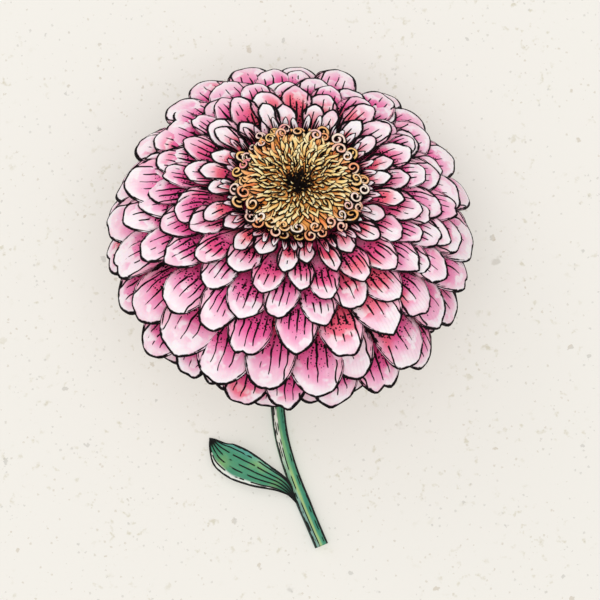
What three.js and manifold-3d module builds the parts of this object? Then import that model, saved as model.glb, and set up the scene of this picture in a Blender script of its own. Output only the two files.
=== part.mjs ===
// A cut double zinnia laid on its back. The bloom faces up and leans away from its stem, the neck bends down
// from the bracts to the surface, and the stem with its one leaf lies along the surface.
// Millimetres, +Z up. z = 0 is the surface, and the origin is under the centre of the whole flower.
import * as THREE from "three";
import { mergeVertices } from "three/addons/utils/BufferGeometryUtils.js";
import Module from "manifold-3d";

const wasm = await Module();
wasm.setup();

// ---- Driving dimensions ----------------------------------------------------------------------------------

const GAP = 0.3; // clearance where one piece of the flower seats against the next
const SURFACE_PRESS = 0.5; // how far what lies on the surface is pressed flat against it

// The bloom leans from upright. Its centre is the middle of its widest ring of petals.
const LEAN = 31; // degrees from upright
const LEAN_AZIMUTH = 80.5; // degrees from +X: the way that the bloom's face leans
const BLOOM_CENTRE = new THREE.Vector3(0, 22.6, 36);

// Ray petals, in rows from the small ones round the disc to the drooping ones on the back: how many, the
// radius and height of their tips, and the angle in degrees at which the tips point above the horizontal.
const ROWS = [
  { count: 24, radius: 29.3, height: 25.6, points: -10 },
  { count: 22, radius: 36.6, height: 23, points: -18 },
  { count: 22, radius: 43.8, height: 18, points: -30 },
  { count: 22, radius: 51.4, height: 12, points: -44 },
  { count: 22, radius: 55, height: -3, points: -62 },
  { count: 22, radius: 54.6, height: -12.4, points: -72 },
  { count: 20, radius: 49.5, height: -17.4, points: -80 },
];
const PETAL_THICKNESS = 1.3;
const PETAL_SPREAD = 1; // width of a petal, as a share of its row's spacing at the tips
const OVER_AND_UNDER = 0.8; // how far neighbours in a row lie above and below the row
const ROOT_TOP = [17.4, 22.6]; // radius and height of the innermost row's roots on the receptacle
const ROOT_BOTTOM = [12.5, -8];
const ROOT_ANGLES = [60, 8]; // degrees above the horizontal at which the first and last rows leave it
const CORE_AT = 0.42; // share of a petal's length at which it comes out of the core
const LAST_CORE_AT = 0.2; // the same on the last row, whose backs show from below

const TO_MIDDLE = new THREE.Vector3(0.3, 0.6, 0); // brings the origin under the middle of the flower

// Disc
const DISC_RADIUS = 16.8;
const DISC_WELL_RADIUS = 17.6;
const DISC_SEAT = 24;
const DISC_RISE = 5.8;
const DISC_SHOULDER_DROP = 1.6; // how far the dome falls from its crown to its rim
const DISC_DIP = 2.4; // depth of the hollow in its middle
const DISC_DIP_WIDTH = 0.3; // share of the radius
const FLORETS = 64;
const CURLS = 24;
const CURL_RADIUS = 1.5;
const CURL_STEPS = 5;

// Bracts
const CUP_TOP = -10;
const CUP_BOTTOM = -22.5;
const CUP_RADIUS = 12.8;
const BRACT_ROWS = 3;
const BRACTS_PER_ROW = 10;

// Stem and leaf
const STEM_RADIUS = 2.15;
const NECK_RADIUS = 3.4;
const NECK_FLARE = 8;
const STEM_SIDES = 10;
const STEM_STEPS = 24;
const LEAF_THICKNESS = 1;
const LEAF_HALF_WIDTH = 5.2;
const LEAF_OUTLINE = [
  [0, 0.2],
  [0.2, 0.38],
  [0.35, 0.62],
  [0.5, 0.88],
  [0.62, 1],
  [0.72, 0.92],
  [0.84, 0.58],
  [0.95, 0.24],
]; // share of the length from the base, and of the half width there

// ---- Small helpers ---------------------------------------------------------------------------------------

const GOLDEN_ANGLE = Math.PI * (3 - Math.sqrt(5));
const radians = THREE.MathUtils.degToRad;
const lerp = THREE.MathUtils.lerp;

// A repeatable draw in -1..1 for a whole number.
function draw(seed) {
  const wave = Math.sin(seed * 12.9898 + 4.1414) * 43758.5453;
  return 2 * (wave - Math.floor(wave)) - 1;
}

// A closed three.js geometry as a solid.
function solidOf(geometry) {
  const bare = geometry.index ? geometry.toNonIndexed() : geometry.clone();
  bare.deleteAttribute("normal");
  bare.deleteAttribute("uv");
  const merged = mergeVertices(bare, 1e-4);
  return new wasm.Manifold(
    new wasm.Mesh({
      numProp: 3,
      vertProperties: merged.getAttribute("position").array,
      triVerts: new Uint32Array(merged.index.array),
    }),
  );
}

function geometryOf(solid) {
  const mesh = solid.getMesh();
  const points = new Float32Array(mesh.numVert * 3);
  for (let i = 0; i < mesh.numVert; i++)
    points.set(mesh.vertProperties.subarray(i * mesh.numProp, i * mesh.numProp + 3), i * 3);
  const geometry = new THREE.BufferGeometry()
    .setAttribute("position", new THREE.BufferAttribute(points, 3))
    .setIndex(new THREE.BufferAttribute(mesh.triVerts, 1));
  geometry.computeVertexNormals();
  return geometry;
}

function union(geometries) {
  return wasm.Manifold.union(geometries.map(solidOf));
}

// A solid with the pockets that are closed off inside it filled.
function filled(solid) {
  return wasm.Manifold.union(solid.decompose().filter((body) => body.volume() > 0));
}

// A closed thin blade. sections run from root to tip: each has a left, a right, an upper and a lower point,
// and the blade ends in the one point tip. Both faces are split alike.
function bladeGeometry(sections, tip) {
  const points = sections.flatMap((s) => [s.left, s.upper, s.right, s.lower]);
  points.push(tip);
  const index = [];
  const quad = (a, b, c, d) => index.push(a, b, c, a, c, d);
  for (let i = 0; i + 1 < sections.length; i++) {
    const [left, upper, right, lower] = [4 * i, 4 * i + 1, 4 * i + 2, 4 * i + 3];
    quad(left, upper, upper + 4, left + 4);
    quad(right + 4, upper + 4, upper, right);
    quad(left + 4, lower + 4, lower, left);
    quad(right, lower, lower + 4, right + 4);
  }
  const last = 4 * (sections.length - 1);
  const end = points.length - 1;
  index.push(last, last + 1, end, last + 1, last + 2, end, last + 2, last + 3, end, last + 3, last, end);
  quad(0, 3, 2, 1);
  const geometry = new THREE.BufferGeometry().setFromPoints(points);
  geometry.setIndex(index);
  return geometry;
}

// ---- Bloom: everything in the bloom's own frame, axis +Z, centre at the origin ------------------------------

const toBloom = new THREE.Matrix4()
  .makeTranslation(BLOOM_CENTRE)
  .multiply(new THREE.Matrix4().makeRotationZ(radians(LEAN_AZIMUTH)))
  .multiply(new THREE.Matrix4().makeRotationY(radians(LEAN)))
  .multiply(new THREE.Matrix4().makeRotationZ(radians(-LEAN_AZIMUTH)));

// A petal's midline in the plane of radius and height.
function petalMidline(row, tipRadius, tipHeight) {
  const share = row / (ROWS.length - 1);
  const root = new THREE.Vector2(
    lerp(ROOT_TOP[0], ROOT_BOTTOM[0], share ** 1.5),
    lerp(ROOT_TOP[1], ROOT_BOTTOM[1], share),
  );
  const tip = new THREE.Vector2(tipRadius, tipHeight);
  const reach = 0.38 * root.distanceTo(tip);
  const leaves = radians(lerp(ROOT_ANGLES[0], ROOT_ANGLES[1], share));
  const arrives = radians(ROWS[row].points);
  return new THREE.CubicBezierCurve(
    root,
    new THREE.Vector2(root.x + reach * Math.cos(leaves), root.y + reach * Math.sin(leaves)),
    new THREE.Vector2(tip.x - reach * Math.cos(arrives), tip.y - reach * Math.sin(arrives)),
    tip,
  );
}

// A petal's place in its row, with a little irregularity. Neighbours lie in turn over and under one another,
// and a petal that would go through the surface rests on it.
function petalPlace(row, number) {
  const { count, radius: ring, height: level } = ROWS[row];
  const seed = row * 100 + number;
  const turn = ((number + (row % 2 ? 0.5 : 0) + 0.13 * draw(seed)) * 2 * Math.PI) / count;
  const side = number % 2 ? OVER_AND_UNDER : -OVER_AND_UNDER;
  const radius = ring + 0.8 * draw(seed + 0.3);
  const atSurface =
    (radius * Math.sin(radians(LEAN)) * Math.cos(turn) - BLOOM_CENTRE.z - SURFACE_PRESS) / Math.cos(radians(LEAN));
  return {
    azimuth: radians(LEAN_AZIMUTH) + turn,
    radius,
    height: Math.max(level + 0.5 * draw(seed + 0.6), atSurface),
    side,
    halfWidth: ((Math.PI * ring) / count) * PETAL_SPREAD * (1 + 0.05 * draw(seed + 0.8)),
    roll: radians(4) * draw(seed + 0.9),
  };
}

// Shares of the length from the root, and of the half width there. The first and last rows show their claws.
const CLAW_OUTLINE = [[0.15, 0.3]];
const PETAL_OUTLINE = [
  [0.3, 0.44],
  [0.56, 0.8],
  [0.76, 1],
  [0.89, 0.86],
  [0.975, 0.42],
];

function petalGeometry(row, number) {
  const place = petalPlace(row, number);
  const midline = petalMidline(row, place.radius, place.height);
  const outward = new THREE.Vector3(Math.cos(place.azimuth), Math.sin(place.azimuth), 0);
  const sideways = new THREE.Vector3(-Math.sin(place.azimuth), Math.cos(place.azimuth), 0);
  const up = new THREE.Vector3(0, 0, 1);
  const at = (v, across, lift) => {
    const p = midline.getPoint(v);
    const t = midline.getTangent(v);
    const normal = outward.clone().multiplyScalar(-t.y).addScaledVector(up, t.x);
    const side = sideways.clone().multiplyScalar(Math.cos(place.roll)).addScaledVector(normal, Math.sin(place.roll));
    const face = normal.clone().multiplyScalar(Math.cos(place.roll)).addScaledVector(sideways, -Math.sin(place.roll));
    return outward
      .clone()
      .multiplyScalar(p.x)
      .addScaledVector(up, p.y)
      .addScaledVector(side, across)
      .addScaledVector(face, lift);
  };
  const clawed = row === 0 || row === ROWS.length - 1;
  const outline = clawed ? [...CLAW_OUTLINE, ...PETAL_OUTLINE] : PETAL_OUTLINE;
  const sections = outline.map(([v, width]) => {
    const half = place.halfWidth * width;
    const level = place.side * Math.sin(Math.PI * v);
    const sag = level - 0.12 * half; // the edges lie below the middle
    return {
      left: at(v, half, sag),
      right: at(v, -half, sag),
      upper: at(v, 0, level + PETAL_THICKNESS / 2),
      lower: at(v, 0, level - PETAL_THICKNESS / 2),
    };
  });
  return bladeGeometry(sections, at(1, 0, 0));
}

// The body of the receptacle and the hidden lower petals, which the petals stand out of.
function coreGeometry() {
  const shoulder = ROWS.map((row, i) =>
    petalMidline(i, row.radius, row.height).getPoint(i < ROWS.length - 1 ? CORE_AT : LAST_CORE_AT),
  );
  const profile = [
    new THREE.Vector2(0, DISC_SEAT),
    new THREE.Vector2(DISC_WELL_RADIUS, DISC_SEAT),
    ...shoulder,
    new THREE.Vector2(CUP_RADIUS + 1, CUP_TOP),
    new THREE.Vector2(0, CUP_TOP),
  ];
  return new THREE.LatheGeometry(profile.reverse(), 36).rotateX(Math.PI / 2);
}

// A round solid about the bloom's axis, to cut a clear space with.
function clearSpace(radius, low, high) {
  return solidOf(
    new THREE.CylinderGeometry(radius, radius, high - low, 36)
      .rotateX(Math.PI / 2)
      .translate(0, 0, (low + high) / 2),
  );
}

function rayPetals() {
  const blades = [];
  ROWS.forEach(({ count }, row) => {
    for (let number = 0; number < count; number++) blades.push(petalGeometry(row, number));
  });
  return union([coreGeometry(), ...blades])
    .subtract(clearSpace(DISC_WELL_RADIUS, DISC_SEAT, DISC_SEAT + 30))
    .subtract(clearSpace(CUP_RADIUS + 2.5, CUP_BOTTOM - 10, CUP_TOP));
}

// Disc: a low dome with a dimple, covered by narrow florets that lean outward, and a ring of curled tips.
function discHeight(radius) {
  const share = radius / DISC_RADIUS;
  const dip = DISC_DIP * Math.exp(-((share / DISC_DIP_WIDTH) ** 2));
  return DISC_SEAT + DISC_RISE - DISC_SHOULDER_DROP * share ** 3 - dip;
}

function discBodyGeometry() {
  const profile = [new THREE.Vector2(0, DISC_SEAT + GAP), new THREE.Vector2(DISC_RADIUS, DISC_SEAT + GAP)];
  for (const share of [1, 0.85, 0.65, 0.4, 0.2]) {
    const radius = share * DISC_RADIUS;
    profile.push(new THREE.Vector2(radius, discHeight(radius)));
  }
  profile.push(new THREE.Vector2(0, discHeight(0)));
  return new THREE.LatheGeometry(profile, 30).rotateX(Math.PI / 2);
}

function floretGeometry(number) {
  const share = Math.sqrt((number + 0.5) / FLORETS);
  const radius = share * (DISC_RADIUS - 1.6);
  const azimuth = number * GOLDEN_ANGLE;
  const length = lerp(2, 5.4, share);
  const lean = radians(lerp(-5, 62, share)) + 0.12 * draw(number + 900);
  return new THREE.ConeGeometry(lerp(0.75, 1.05, share), length, 4)
    .translate(0, length / 2 - 1.1, 0)
    .rotateX(Math.PI / 2)
    .rotateY(lean)
    .translate(radius, 0, discHeight(radius))
    .rotateZ(azimuth);
}

// A curl leaves the disc's rim outward and rolls up into most of a ring.
class CurlCurve extends THREE.Curve {
  constructor(turn) {
    super();
    this.turn = turn;
  }
  getPoint(t, target = new THREE.Vector3()) {
    const angle = this.turn * lerp(-0.5 * Math.PI, 1.22 * Math.PI, t);
    const radius = CURL_RADIUS * lerp(1, 0.62, t);
    return target.set(radius * Math.cos(angle), radius * Math.sin(angle), lerp(0, 0.9, t));
  }
}

function curlGeometry(number) {
  const section = new THREE.Shape(
    [0, 1, 2, 3].map((i) => new THREE.Vector2(0.42 * Math.cos((i * Math.PI) / 2), 0.42 * Math.sin((i * Math.PI) / 2))),
  );
  const turn = draw(number + 700) > 0 ? 1 : -1;
  const azimuth = ((number + 0.25 * draw(number + 800)) * 2 * Math.PI) / CURLS;
  const radius = DISC_RADIUS - 0.4 + 0.3 * draw(number + 750);
  return new THREE.ExtrudeGeometry(section, { steps: CURL_STEPS, extrudePath: new CurlCurve(turn), bevelEnabled: false })
    .rotateX(0.3 * draw(number + 850))
    .translate(radius, 0, discHeight(DISC_RADIUS) - 0.15)
    .rotateZ(azimuth);
}

function discFlorets() {
  const parts = [discBodyGeometry()];
  for (let i = 0; i < FLORETS; i++) parts.push(floretGeometry(i));
  for (let i = 0; i < CURLS; i++) parts.push(curlGeometry(i));
  return union(parts);
}

// Bracts: a cup under the bloom, wrapped in rows of broad overlapping scales.
const cupProfile = new THREE.CatmullRomCurve3(
  [
    [NECK_RADIUS, CUP_BOTTOM],
    [7.5, CUP_BOTTOM + 2.2],
    [11.4, CUP_BOTTOM + 6],
    [CUP_RADIUS, CUP_TOP - GAP],
  ].map(([r, z]) => new THREE.Vector3(r, z, 0)),
);

function cupGeometry() {
  const side = cupProfile.getPoints(5).map((p) => new THREE.Vector2(p.x, p.y));
  const profile = [new THREE.Vector2(0, CUP_BOTTOM), ...side, new THREE.Vector2(0, CUP_TOP - GAP)];
  return new THREE.LatheGeometry(profile, 24).rotateX(Math.PI / 2);
}

function bractGeometry(row, number) {
  const from = lerp(0.06, 0.42, row / (BRACT_ROWS - 1));
  const to = lerp(0.56, 0.96, row / (BRACT_ROWS - 1));
  const azimuth = ((number + (row % 2) / 2) * 2 * Math.PI) / BRACTS_PER_ROW;
  const sections = [0, 0.5, 0.85].map((v) => {
    const p = cupProfile.getPoint(lerp(from, to, v));
    const t = cupProfile.getTangent(lerp(from, to, v));
    const half = ((2 * Math.PI * p.x) / BRACTS_PER_ROW) * 0.5 * [0.8, 1.08, 0.72][Math.round(v * 2.3)];
    const at = (across, lift) =>
      new THREE.Vector3(p.x + t.y * lift, 0, p.y - t.x * lift).applyAxisAngle(
        new THREE.Vector3(0, 0, 1),
        azimuth + across / p.x,
      );
    return { left: at(-half, -0.1), right: at(half, -0.1), upper: at(0, lerp(0.3, 1.3, v)), lower: at(0, -1) };
  });
  const p = cupProfile.getPoint(to);
  const tip = new THREE.Vector3(p.x + 1, 0, p.y).applyAxisAngle(new THREE.Vector3(0, 0, 1), azimuth);
  return bladeGeometry(sections, tip);
}

function bracts() {
  const parts = [cupGeometry()];
  for (let row = 0; row < BRACT_ROWS; row++)
    for (let number = 0; number < BRACTS_PER_ROW; number++) parts.push(bractGeometry(row, number));
  return union(parts).subtract(clearSpace(40, CUP_TOP - GAP, CUP_TOP + 20));
}

// ---- Stem and leaf: in the flower's own frame ---------------------------------------------------------------

// Everything below the surface is cut away, so that what presses on it is flat there.
const belowSurface = solidOf(new THREE.BoxGeometry(400, 400, 50).translate(0, 0, -25));

const neckTop = new THREE.Vector3(0, 0, CUP_BOTTOM - GAP).applyMatrix4(toBloom);
const neckDown = new THREE.Vector3(0, 0, -1).transformDirection(toBloom);
const STEM_LIES_AT = STEM_RADIUS - 0.12;

// Along the surface the stem first drifts to one side and then to the other.
const stemPath = new THREE.CatmullRomCurve3(
  [
    neckTop.clone().addScaledVector(neckDown, -0.01),
    neckTop.clone().addScaledVector(neckDown, NECK_FLARE),
    new THREE.Vector3(-4.4, -5, STEM_LIES_AT + 1.6),
    new THREE.Vector3(-4.9, -16, STEM_LIES_AT),
    new THREE.Vector3(-4.2, -29, STEM_LIES_AT),
    new THREE.Vector3(-2.9, -39.5, STEM_LIES_AT),
    new THREE.Vector3(-0.4, -48.8, STEM_LIES_AT),
    new THREE.Vector3(3.5, -59.1, STEM_LIES_AT),
    new THREE.Vector3(9.3, -72.9, STEM_LIES_AT),
  ],
  false,
  "centripetal",
);

function tubeGeometry(radius) {
  const section = new THREE.Shape(
    [...Array(STEM_SIDES).keys()].map((i) => {
      const angle = (i * 2 * Math.PI) / STEM_SIDES;
      return new THREE.Vector2(radius * Math.cos(angle), radius * Math.sin(angle));
    }),
  );
  return new THREE.ExtrudeGeometry(section, { steps: STEM_STEPS, extrudePath: stemPath, bevelEnabled: false });
}

function stem() {
  const flare = new THREE.LatheGeometry(
    [
      [0, CUP_BOTTOM - GAP],
      [NECK_RADIUS, CUP_BOTTOM - GAP],
      [2.7, CUP_BOTTOM - GAP - 0.4 * NECK_FLARE],
      [STEM_RADIUS - 0.1, CUP_BOTTOM - GAP - NECK_FLARE],
      [0, CUP_BOTTOM - GAP - NECK_FLARE],
    ]
      .reverse()
      .map(([r, z]) => new THREE.Vector2(r, z)),
    STEM_SIDES,
  )
    .rotateX(Math.PI / 2)
    .applyMatrix4(toBloom);
  return union([tubeGeometry(STEM_RADIUS), flare]).subtract(belowSurface);
}

// The leaf springs from the stem's side, arches a little and comes down to its tip.
const leafMidrib = new THREE.CatmullRomCurve3([
  new THREE.Vector3(2.6, -60.2, 2.4),
  new THREE.Vector3(-2.4, -54.6, 3.9),
  new THREE.Vector3(-11.2, -50.4, 5.4),
  new THREE.Vector3(-20.4, -45.4, 3.6),
  new THREE.Vector3(-24.8, -40.2, 0.8),
]);
function leaf() {
  const sections = LEAF_OUTLINE.map(([v, width]) => {
    const p = leafMidrib.getPoint(v);
    const t = leafMidrib.getTangent(v);
    const side = new THREE.Vector3(0, 0, 1).cross(t).normalize();
    const normal = t.clone().cross(side).normalize();
    const half = LEAF_HALF_WIDTH * width;
    const at = (across, lift) => p.clone().addScaledVector(side, across).addScaledVector(normal, lift);
    return {
      left: at(half, 0.1 * half),
      right: at(-half, 0.1 * half),
      upper: at(0, LEAF_THICKNESS / 2 - 0.1),
      lower: at(0, -LEAF_THICKNESS / 2 - 0.1),
    };
  });
  return solidOf(bladeGeometry(sections, leafMidrib.getPoint(1)))
    .subtract(solidOf(tubeGeometry(STEM_RADIUS + GAP)))
    .subtract(belowSurface);
}

// ---- The flower -------------------------------------------------------------------------------------------

function piece(name, solid, color, roughness) {
  const mesh = new THREE.Mesh(geometryOf(solid), new THREE.MeshStandardMaterial({ color, roughness, metalness: 0 }));
  mesh.name = name;
  return mesh;
}

const zinnia = new THREE.Group();
zinnia.name = "zinnia";
const petals = filled(solidOf(geometryOf(rayPetals()).applyMatrix4(toBloom)).subtract(belowSurface));
zinnia.add(piece("ray_petals", petals, 0xee8fb8, 0.6));

const bloom = new THREE.Group();
bloom.applyMatrix4(toBloom);
bloom.add(piece("disc_florets", filled(discFlorets()), 0xf0b95e, 0.7));
bloom.add(piece("involucre", filled(bracts()), 0x5f9a5a, 0.65));
zinnia.add(bloom);
zinnia.add(piece("stem", filled(stem()), 0x5aa67a, 0.55));
zinnia.add(piece("leaf", filled(leaf()), 0x4f9f76, 0.6));
zinnia.position.copy(TO_MIDDLE);

export default zinnia;
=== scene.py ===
"""A cut double zinnia that lies on its back, seen from above.

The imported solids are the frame, and each of them is replaced by finer pieces that follow the same rules.
Lengths are in millimetres until a mesh is made. The flower's frame is the CAD's: z = 0 is the surface that it
lies on, and the origin is under its middle.
"""

import itertools
import math

import bpy
import numpy as np
from mathutils import Matrix, Vector


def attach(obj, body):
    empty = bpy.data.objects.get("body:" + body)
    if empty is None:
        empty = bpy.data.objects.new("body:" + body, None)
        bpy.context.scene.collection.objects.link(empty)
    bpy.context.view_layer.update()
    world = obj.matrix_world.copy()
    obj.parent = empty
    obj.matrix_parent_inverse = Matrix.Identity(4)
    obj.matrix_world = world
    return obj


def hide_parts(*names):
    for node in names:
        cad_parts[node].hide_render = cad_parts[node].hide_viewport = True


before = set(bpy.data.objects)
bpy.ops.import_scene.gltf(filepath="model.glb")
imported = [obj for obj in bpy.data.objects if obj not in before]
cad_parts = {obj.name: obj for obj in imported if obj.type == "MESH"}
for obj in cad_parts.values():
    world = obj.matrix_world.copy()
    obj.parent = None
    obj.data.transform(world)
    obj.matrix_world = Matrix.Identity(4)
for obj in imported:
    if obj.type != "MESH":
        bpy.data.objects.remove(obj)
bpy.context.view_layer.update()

MM = 0.001

# ---- The sizes that the solids have ----

TO_MIDDLE = np.array([0.3, 0.6, 0.0])
SURFACE_PRESS = 0.5
LEAN = math.radians(31)
LEAN_AZIMUTH = math.radians(80.5)
BLOOM_CENTRE = np.array([0.0, 22.6, 36.0])

# Rows of petals: count, radius and height of the tips, and the angle at which they point, in degrees.
ROWS = [
    (24, 29.3, 25.6, -10),
    (22, 36.6, 23.0, -18),
    (22, 43.8, 18.0, -30),
    (22, 51.4, 12.0, -44),
    (22, 55.0, -3.0, -62),
    (22, 54.6, -12.4, -72),
    (20, 49.5, -17.4, -80),
]
OVER_AND_UNDER = 0.8
ROOT_TOP = (17.4, 22.6)
ROOT_BOTTOM = (12.5, -8.0)
ROOT_ANGLES = (60, 8)
TURN_DRAW = 0.13  # in steps of the row
RADIUS_DRAW = 0.8
HEIGHT_DRAW = 0.5
WIDTH_DRAW = 0.05  # share of the width
ROLL_DRAW = math.radians(4)

DISC_RADIUS = 16.8
DISC_WELL_RADIUS = 17.6
DISC_SEAT = 24.0
DISC_RISE = 5.8
DISC_SHOULDER_DROP = 1.6
DISC_DIP = 2.4
DISC_DIP_WIDTH = 0.3
CURLS = 24

CUP_TOP = -10.0
CUP_BOTTOM = -22.5
CUP_RADIUS = 12.8
GAP = 0.3
BRACT_ROWS = 3
BRACTS_PER_ROW = 10

STEM_RADIUS = 2.15
STEM_LIES_AT = STEM_RADIUS - 0.12
NECK_RADIUS = 3.4
NECK_FLARE = 8.0
LEAF_HALF_WIDTH = 5.2

GOLDEN_ANGLE = math.pi * (3 - math.sqrt(5))


def draw(seed):
    """A repeatable draw in -1..1, the one that the solids use."""
    wave = math.sin(seed * 12.9898 + 4.1414) * 43758.5453
    return 2 * (wave - math.floor(wave)) - 1


def lerp(a, b, t):
    return a + (b - a) * t


def smoothstep(x, low, high):
    t = np.clip((x - low) / (high - low), 0, 1)
    return t * t * (3 - 2 * t)


def bell(x, width):
    return np.exp(-((x / width) ** 2))


def spread(columns):
    """Places across a blade from -1 to 1, closest together at its margins."""
    return np.sin(np.linspace(-math.pi / 2, math.pi / 2, columns))[None, :]


def catmull_rom(points, samples):
    """Points at those shares of a centripetal Catmull-Rom spline, the one that the solids use."""
    p = np.asarray(points, float)
    ends = np.vstack([2 * p[0] - p[1], p, 2 * p[-1] - p[-2]])
    out = []
    for t in samples:
        place = min(max(t, 0.0), 1.0) * (len(p) - 1)
        i = min(int(place), len(p) - 2)
        w = place - i
        p0, p1, p2, p3 = ends[i : i + 4]
        d0, d1, d2 = (math.sqrt(max(np.linalg.norm(b - a), 1e-8)) for a, b in ((p0, p1), (p1, p2), (p2, p3)))
        m1 = ((p1 - p0) / d0 - (p2 - p0) / (d0 + d1) + (p2 - p1) / d1) * d1
        m2 = ((p2 - p1) / d1 - (p3 - p1) / (d1 + d2) + (p3 - p2) / d2) * d1
        near = (2 * w**3 - 3 * w**2 + 1) * p1 + (w**3 - 2 * w**2 + w) * m1
        out.append(near + (3 * w**2 - 2 * w**3) * p2 + (w**3 - w**2) * m2)
    return np.array(out)


def about_z(points, angle):
    """Those points turned about +Z."""
    c, s = math.cos(angle), math.sin(angle)
    return points @ np.array([[c, s, 0], [-s, c, 0], [0, 0, 1]])


AXIS_TURN = Matrix.Rotation(LEAN_AZIMUTH, 3, "Z")
BLOOM_TURN = np.array(AXIS_TURN @ Matrix.Rotation(LEAN, 3, "Y") @ Matrix.Rotation(-LEAN_AZIMUTH, 3, "Z"))


def from_bloom(points):
    """From the bloom's own frame, axis +Z, to the flower's."""
    return points @ BLOOM_TURN.T + BLOOM_CENTRE


# ---- Camera and light ----

VIEW_CENTRE = (3.0, 2.4, 36.0)
VIEW_WIDTH = 180.0
CAMERA_HEIGHT = 2500.0
SENSOR_WIDTH = 36.0
SKY_COLOUR = (1.0, 0.99, 0.97, 1.0)
SKY_STRENGTH = 0.6
LIGHT_AIM = Vector((0.0, 0.02, 0.04))

scene = bpy.context.scene
scene.view_settings.view_transform = "Standard"
scene.view_settings.look = "None"

camera_data = bpy.data.cameras.new("camera")
camera_data.sensor_width = SENSOR_WIDTH
camera_data.lens = SENSOR_WIDTH * (CAMERA_HEIGHT - VIEW_CENTRE[2]) / VIEW_WIDTH
camera_data.clip_end = 20.0
camera = bpy.data.objects.new("camera", camera_data)
camera.location = (VIEW_CENTRE[0] * MM, VIEW_CENTRE[1] * MM, CAMERA_HEIGHT * MM)
scene.collection.objects.link(camera)
scene.camera = camera

world = bpy.data.worlds.new("studio")
world.use_nodes = True
world.node_tree.nodes["Background"].inputs["Color"].default_value = SKY_COLOUR
world.node_tree.nodes["Background"].inputs["Strength"].default_value = SKY_STRENGTH
scene.world = world


def area_light(name, place, size, power):
    """A soft square light that faces the bloom, placed in metres."""
    data = bpy.data.lights.new(name, "AREA")
    data.shape = "SQUARE"
    data.size = size
    data.energy = power
    light = bpy.data.objects.new(name, data)
    light.location = place
    light.rotation_euler = (LIGHT_AIM - Vector(place)).to_track_quat("-Z", "Y").to_euler()
    scene.collection.objects.link(light)


area_light("key", (-0.75, 0.85, 1.05), 0.9, 2.6)
area_light("top", (0.0, 0.0, 2.9), 2.6, 38.0)


# ---- Materials ----

SUBSURFACE_SCALE = 0.002  # metres


def linear(colour):
    """An sRGB colour, 0..255, as the linear one that nodes take."""
    channels = [c / 255 for c in colour]
    return tuple(c / 12.92 if c <= 0.04045 else ((c + 0.055) / 1.055) ** 2.4 for c in channels) + (1.0,)


class Value:
    """A node's output. Sums and products of values are further nodes of the same material."""

    def __init__(self, paint, socket):
        self.paint = paint
        self.socket = socket

    def math(self, operation, other=0.0):
        return self.paint.value(0, "Math", {0: self, 1: other}, operation=operation)

    def __add__(self, other):
        return self.math("ADD", other)

    def __sub__(self, other):
        return self.math("SUBTRACT", other)

    def __mul__(self, other):
        return self.math("MULTIPLY", other)

    def __truediv__(self, other):
        return self.math("DIVIDE", other)

    def __abs__(self):
        return self.math("ABSOLUTE")

    def step(self, low, high, start=0.0, end=1.0):
        """From start to end as this value goes from low to high, smoothly."""
        inputs = {"Value": self, "From Min": low, "From Max": high, "To Min": start, "To Max": end}
        return self.paint.value("Result", "MapRange", inputs, interpolation_type="SMOOTHSTEP")

    def below(self, low, high):
        """1 under low, and 0 over high."""
        return self.step(low, high, 1.0, 0.0)


def most(first, *others):
    """The largest of some values."""
    for other in others:
        first = first.math("MAXIMUM", other)
    return first


class Paint:
    """A material and the nodes of its values. Scales are in cells per metre."""

    def __init__(self, name, roughness, specular=0.3, subsurface=0.0):
        self.material = bpy.data.materials.new(name)
        self.material.use_nodes = True
        self.tree = self.material.node_tree
        self.place = self.value("Object", "TexCoord")
        self.set("Roughness", roughness)
        self.set("Specular IOR Level", specular)
        self.set("Subsurface Weight", subsurface)
        self.set("Subsurface Scale", SUBSURFACE_SCALE)

    def connect(self, socket, value):
        """Gives a socket a node's output, an sRGB colour or a number."""
        if isinstance(value, Value):
            self.tree.links.new(value.socket, socket)
        else:
            socket.default_value = linear(value) if isinstance(value, tuple) else value

    def set(self, name, value):
        """Sets one of the shader's own sockets."""
        self.connect(self.tree.nodes["Principled BSDF"].inputs[name], value)

    def node(self, kind, inputs, **settings):
        node = self.tree.nodes.new("ShaderNode" + kind)
        for name, setting in settings.items():
            setattr(node, name, setting)
        for name, value in dict(inputs).items():
            self.connect(node.inputs[name], value)
        return node

    def value(self, output, kind, inputs=(), **settings):
        """The named output of a new node."""
        return Value(self, self.node(kind, inputs, **settings).outputs[output])

    def attribute(self, name):
        return self.value("Fac", "Attribute", attribute_name=name)

    def attributes(self, names):
        return [self.attribute(name) for name in names.split()]

    def noise(self, scale, detail=2.0):
        return self.value("Fac", "TexNoise", {"Vector": self.place, "Scale": scale, "Detail": detail})

    def waver(self, scale, detail=2.0):
        """Noise about 0."""
        return self.noise(scale, detail) - 0.5

    def cells(self, scale):
        """The distance to the nearest of many scattered points, and that point's own colour."""
        node = self.node("TexVoronoi", {"Vector": self.place, "Scale": scale})
        return Value(self, node.outputs["Distance"]), Value(self, node.outputs["Color"])

    def mix(self, factor, a, b):
        return self.value("Result", "Mix", {"Factor": factor, "A": a, "B": b}, data_type="RGBA")

    def ramp(self, factor, stops):
        node = self.node("ValToRGB", {"Fac": factor})
        elements = node.color_ramp.elements
        while len(elements) < len(stops):
            elements.new(0.5)
        for element, (place, colour) in zip(elements, stops):
            element.position = place
            element.color = linear(colour)
        return Value(self, node.outputs["Color"])

    def bump(self, height, distance=0.0001, strength=0.5):
        inputs = {"Height": height, "Distance": distance, "Strength": strength}
        self.set("Normal", self.value("Normal", "Bump", inputs))

    def colour(self, value):
        self.set("Base Color", value)
        return self.material


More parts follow.
